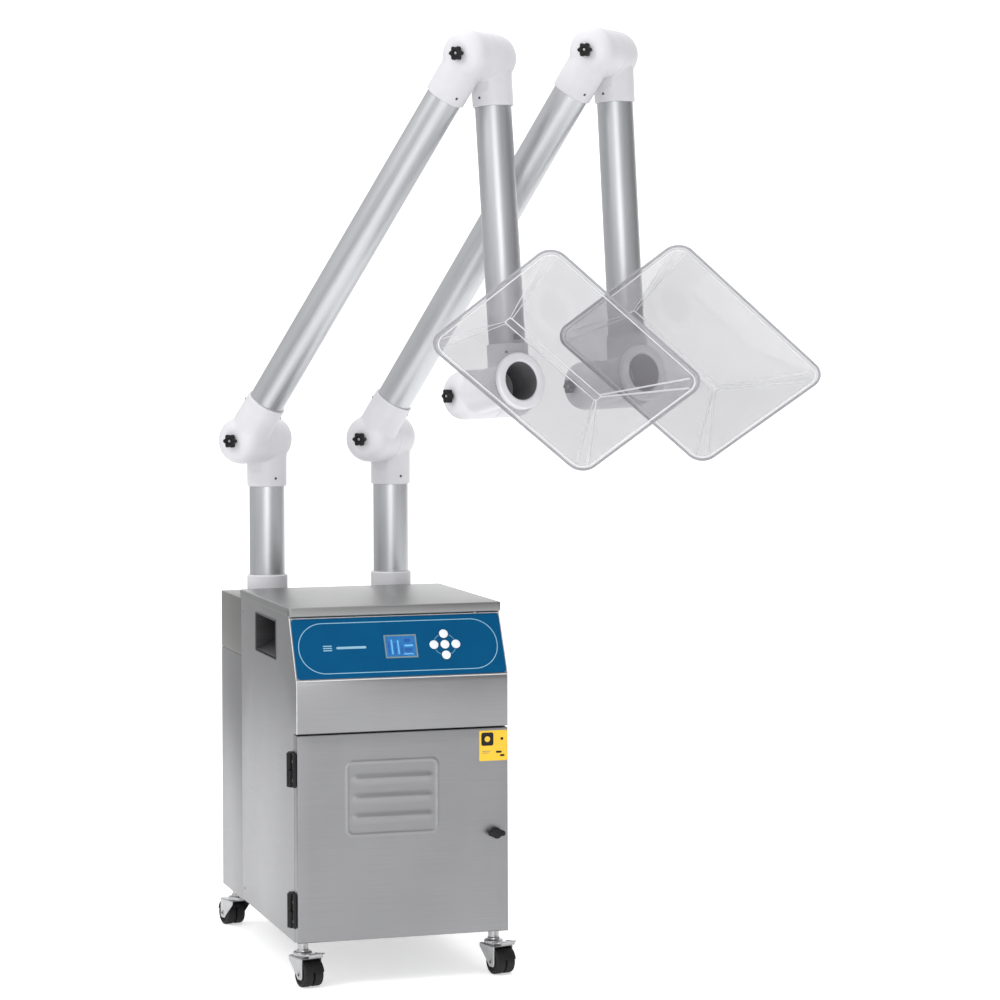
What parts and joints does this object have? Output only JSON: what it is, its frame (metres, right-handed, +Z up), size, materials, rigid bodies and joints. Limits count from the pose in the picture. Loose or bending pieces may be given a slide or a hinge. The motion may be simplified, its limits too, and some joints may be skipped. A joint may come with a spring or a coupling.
{
  "type": "solder fume extractor",
  "caption": "Wheeled stainless filter cabinet with a blue control panel, hinged filter door and jointed extraction arms that end in swivelling nozzles with clear hoods.",
  "frame": {"origin": "bottom centre of the whole machine's bounding box, on the floor under the castors", "axes": "+Z up, +X to the cabinet's right as seen from its door, -Y out of the door"},
  "size_m": [1.0728, 0.9775, 1.8988],
  "materials": {
    "brushed_steel": "horizontally brushed stainless sheet",
    "lid_steel": "bright stainless lid",
    "duct_steel": "duller stainless duct box",
    "zinc_plate": "bright zinc plate",
    "satin_aluminium": "satin anodised tube",
    "white_plastic": "off-white satin moulding",
    "black_plastic": "black moulding",
    "black_rubber": "black tread",
    "blue_film": "printed blue film",
    "display_blue": "backlit blue display",
    "button_white": "white key cap",
    "filter_card": "pleated filter in a card case",
    "motor_grey": "grey blower housing",
    "clear_plastic": "clear formed acrylic"
  },
  "bodies": {
    "cabinet": {"cabinet_shell": "brushed_steel", "top_lid": "lid_steel", "front_fascia": "brushed_steel", "control_overlay": "blue_film", "display_module": "display_blue", "rear_duct_box": "duct_steel", "rear_cover": "brushed_steel", "handle_cup_left": "brushed_steel", "handle_cup_right": "brushed_steel", "hinge_base_upper": "black_plastic", "hinge_base_lower": "black_plastic", "arm_1_collar": "white_plastic", "arm_2_collar": "white_plastic", "filter_cartridge": "filter_card", "blower": "motor_grey"},
    "door": {"door": "brushed_steel", "hinge_wing_upper": "black_plastic", "hinge_wing_lower": "black_plastic"},
    "latch": {"latch_knob": "black_plastic"},
    "button_up": {"button_up": "button_white"},
    "button_down": {"button_down": "button_white"},
    "button_left": {"button_left": "button_white"},
    "button_right": {"button_right": "button_white"},
    "button_centre": {"button_centre": "button_white"},
    "castor_front_left": {"castor_front_left_fork": "zinc_plate"},
    "castor_front_left_wheels": {"castor_front_left_wheels": "black_rubber"},
    "castor_front_left_brake": {"castor_front_left_brake": "zinc_plate"},
    "castor_front_right": {"castor_front_right_fork": "zinc_plate"},
    "castor_front_right_wheels": {"castor_front_right_wheels": "black_rubber"},
    "castor_front_right_brake": {"castor_front_right_brake": "zinc_plate"},
    "castor_rear_left": {"castor_rear_left_fork": "zinc_plate"},
    "castor_rear_left_wheels": {"castor_rear_left_wheels": "black_rubber"},
    "castor_rear_right": {"castor_rear_right_fork": "zinc_plate"},
    "castor_rear_right_wheels": {"castor_rear_right_wheels": "black_rubber"},
    "arm_1_mast": {"arm_1_riser_tube": "satin_aluminium", "arm_1_lower_elbow_base": "white_plastic"},
    "arm_1_boom": {"arm_1_lower_elbow_arm": "white_plastic", "arm_1_long_tube": "satin_aluminium", "arm_1_upper_elbow_rising": "white_plastic"},
    "arm_1_drop": {"arm_1_upper_elbow_falling": "white_plastic", "arm_1_drop_tube": "satin_aluminium"},
    "arm_1_wrist": {"arm_1_end_elbow_fixed": "white_plastic"},
    "arm_1_nozzle": {"arm_1_end_elbow_nozzle": "white_plastic"},
    "arm_1_hood": {"arm_1_hood": "clear_plastic"},
    "arm_1_lower_knob": {"arm_1_lower_knob": "black_plastic"},
    "arm_1_upper_knob": {"arm_1_upper_knob": "black_plastic"},
    "arm_1_end_knob": {"arm_1_end_knob": "black_plastic"},
    "arm_2_mast": {"arm_2_riser_tube": "satin_aluminium", "arm_2_lower_elbow_base": "white_plastic"},
    "arm_2_boom": {"arm_2_lower_elbow_arm": "white_plastic", "arm_2_long_tube": "satin_aluminium", "arm_2_upper_elbow_rising": "white_plastic"},
    "arm_2_drop": {"arm_2_upper_elbow_falling": "white_plastic", "arm_2_drop_tube": "satin_aluminium"},
    "arm_2_wrist": {"arm_2_end_elbow_fixed": "white_plastic"},
    "arm_2_nozzle": {"arm_2_end_elbow_nozzle": "white_plastic"},
    "arm_2_hood": {"arm_2_hood": "clear_plastic"},
    "arm_2_lower_knob": {"arm_2_lower_knob": "black_plastic"},
    "arm_2_upper_knob": {"arm_2_upper_knob": "black_plastic"},
    "arm_2_end_knob": {"arm_2_end_knob": "black_plastic"}
  },
  "joints": [
    {"name": "door_hinge", "type": "hinge", "parent": "cabinet", "child": "door", "pos_m": [-0.5083, -0.2007, 0], "axis": [0, 0, -1], "range_deg": [0, 110]},
    {"name": "latch_turn", "type": "hinge", "parent": "door", "child": "latch", "pos_m": [-0.0983, -0.2232, 0.2844], "axis": [0, 1, 0], "range_deg": [0, 90]},
    {"name": "button_up_press", "type": "slide", "parent": "cabinet", "child": "button_up", "axis": [0, 0.8864, -0.463], "range_m": [0, 0.0008], "stiffness_N_per_m": 600},
    {"name": "button_down_press", "type": "slide", "parent": "cabinet", "child": "button_down", "axis": [0, 0.8864, -0.463], "range_m": [0, 0.0008], "stiffness_N_per_m": 600},
    {"name": "button_left_press", "type": "slide", "parent": "cabinet", "child": "button_left", "axis": [0, 0.8864, -0.463], "range_m": [0, 0.0008], "stiffness_N_per_m": 600},
    {"name": "button_right_press", "type": "slide", "parent": "cabinet", "child": "button_right", "axis": [0, 0.8864, -0.463], "range_m": [0, 0.0008], "stiffness_N_per_m": 600},
    {"name": "button_centre_press", "type": "slide", "parent": "cabinet", "child": "button_centre", "axis": [0, 0.8864, -0.463], "range_m": [0, 0.0008], "stiffness_N_per_m": 600},
    {"name": "castor_front_left_swivel", "type": "hinge", "parent": "cabinet", "child": "castor_front_left", "pos_m": [-0.4798, -0.1832, 0], "axis": [0, 0, 1], "continuous": true},
    {"name": "castor_front_left_roll", "type": "hinge", "parent": "castor_front_left", "child": "castor_front_left_wheels", "pos_m": [-0.47327, -0.2094, 0.025], "axis": [0.9703, 0.2419, 0], "continuous": true},
    {"name": "castor_front_left_brake_press", "type": "hinge", "parent": "castor_front_left", "child": "castor_front_left_brake", "pos_m": [-0.47085, -0.2191, 0.0625], "axis": [0.9703, 0.2419, 0], "range_deg": [0, 12]},
    {"name": "castor_front_right_swivel", "type": "hinge", "parent": "cabinet", "child": "castor_front_right", "pos_m": [-0.0898, -0.1832, 0], "axis": [0, 0, 1], "continuous": true},
    {"name": "castor_front_right_roll", "type": "hinge", "parent": "castor_front_right", "child": "castor_front_right_wheels", "pos_m": [-0.08327, -0.2094, 0.025], "axis": [0.9703, 0.2419, 0], "continuous": true},
    {"name": "castor_front_right_brake_press", "type": "hinge", "parent": "castor_front_right", "child": "castor_front_right_brake", "pos_m": [-0.08085, -0.2191, 0.0625], "axis": [0.9703, 0.2419, 0], "range_deg": [0, 12]},
    {"name": "castor_rear_left_swivel", "type": "hinge", "parent": "cabinet", "child": "castor_rear_left", "pos_m": [-0.4798, 0.4328, 0], "axis": [0, 0, 1], "continuous": true},
    {"name": "castor_rear_left_roll", "type": "hinge", "parent": "castor_rear_left", "child": "castor_rear_left_wheels", "pos_m": [-0.48633, 0.459, 0.025], "axis": [-0.9703, -0.2419, 0], "continuous": true},
    {"name": "castor_rear_right_swivel", "type": "hinge", "parent": "cabinet", "child": "castor_rear_right", "pos_m": [-0.0898, 0.4328, 0], "axis": [0, 0, 1], "continuous": true},
    {"name": "castor_rear_right_roll", "type": "hinge", "parent": "castor_rear_right", "child": "castor_rear_right_wheels", "pos_m": [-0.09633, 0.459, 0.025], "axis": [-0.9703, -0.2419, 0], "continuous": true},
    {"name": "arm_1_swivel", "type": "hinge", "parent": "cabinet", "child": "arm_1_mast", "pos_m": [-0.4208, 0.3868, 0], "axis": [0, 0, 1], "range_deg": [-180, 0]},
    {"name": "arm_1_lower_pivot", "type": "hinge", "parent": "arm_1_mast", "child": "arm_1_boom", "pos_m": [-0.48215, 0.32797, 1.0465], "axis": [0.7218, 0.6921, 0], "range_deg": [0, 20]},
    {"name": "arm_1_upper_pivot", "type": "hinge", "parent": "arm_1_boom", "child": "arm_1_drop", "pos_m": [-0.03968, -0.01063, 1.83289], "axis": [-0.7218, -0.6921, 0], "range_deg": [-20, 0]},
    {"name": "arm_1_wrist_turn", "type": "hinge", "parent": "arm_1_drop", "child": "arm_1_wrist", "pos_m": [-0.00913, -0.04248, 1.15031], "axis": [-0.0447, 0.0466, 0.9979], "range_deg": [-60, 0]},
    {"name": "arm_1_nozzle_tilt", "type": "hinge", "parent": "arm_1_wrist", "child": "arm_1_nozzle", "pos_m": [-0.10695, -0.07769, 1.14758], "axis": [-0.9406, -0.3385, -0.0263], "range_deg": [-45, 0]},
    {"name": "arm_1_hood_turn", "type": "hinge", "parent": "arm_1_nozzle", "child": "arm_1_hood", "pos_m": [-0.05076, -0.23614, 1.17745], "axis": [0.3291, -0.9279, 0.175], "range_deg": [-25, 0]},
    {"name": "arm_1_lower_knob_turn", "type": "hinge", "parent": "arm_1_boom", "child": "arm_1_lower_knob", "pos_m": [-0.51319, 0.29821, 1.0465], "axis": [0.7218, 0.6921, 0], "continuous": true},
    {"name": "arm_1_upper_knob_turn", "type": "hinge", "parent": "arm_1_boom", "child": "arm_1_upper_knob", "pos_m": [-0.13207, -0.09922, 1.83289], "axis": [0.7218, 0.6921, 0], "continuous": true},
    {"name": "arm_1_end_knob_turn", "type": "hinge", "parent": "arm_1_nozzle", "child": "arm_1_end_knob", "pos_m": [-0.1474, -0.09225, 1.14645], "axis": [0.9406, 0.3385, 0.0263], "continuous": true},
    {"name": "arm_2_swivel", "type": "hinge", "parent": "cabinet", "child": "arm_2_mast", "pos_m": [-0.1488, 0.3868, 0], "axis": [0, 0, 1], "range_deg": [0, 180]},
    {"name": "arm_2_lower_pivot", "type": "hinge", "parent": "arm_2_mast", "child": "arm_2_boom", "pos_m": [-0.20677, 0.32463, 1.0465], "axis": [0.682, 0.7314, 0], "range_deg": [-20, 0]},
    {"name": "arm_2_upper_pivot", "type": "hinge", "parent": "arm_2_boom", "child": "arm_2_drop", "pos_m": [0.23667, 0.02734, 1.84888], "axis": [-0.682, -0.7314, 0], "range_deg": [-10, 90]},
    {"name": "arm_2_wrist_turn", "type": "hinge", "parent": "arm_2_drop", "child": "arm_2_wrist", "pos_m": [0.26285, 0.00293, 1.16581], "axis": [-0.0383, 0.0357, 0.9986], "range_deg": [0, 180]},
    {"name": "arm_2_nozzle_tilt", "type": "hinge", "parent": "arm_2_wrist", "child": "arm_2_nozzle", "pos_m": [0.16501, -0.03226, 1.16332], "axis": [-0.9407, -0.3383, -0.024], "range_deg": [0, 45]},
    {"name": "arm_2_hood_turn", "type": "hinge", "parent": "arm_2_nozzle", "child": "arm_2_hood", "pos_m": [0.22141, -0.19101, 1.1911], "axis": [0.3303, -0.9298, 0.1627], "range_deg": [-45, 0]},
    {"name": "arm_2_lower_knob_turn", "type": "hinge", "parent": "arm_2_boom", "child": "arm_2_lower_knob", "pos_m": [-0.2361, 0.29319, 1.0465], "axis": [0.682, 0.7314, 0], "continuous": true},
    {"name": "arm_2_upper_knob_turn", "type": "hinge", "parent": "arm_2_boom", "child": "arm_2_upper_knob", "pos_m": [0.14937, -0.06627, 1.84888], "axis": [0.682, 0.7314, 0], "continuous": true},
    {"name": "arm_2_end_knob_turn", "type": "hinge", "parent": "arm_2_nozzle", "child": "arm_2_end_knob", "pos_m": [0.12456, -0.04681, 1.16229], "axis": [0.9407, 0.3383, 0.024], "continuous": true}
  ]
}
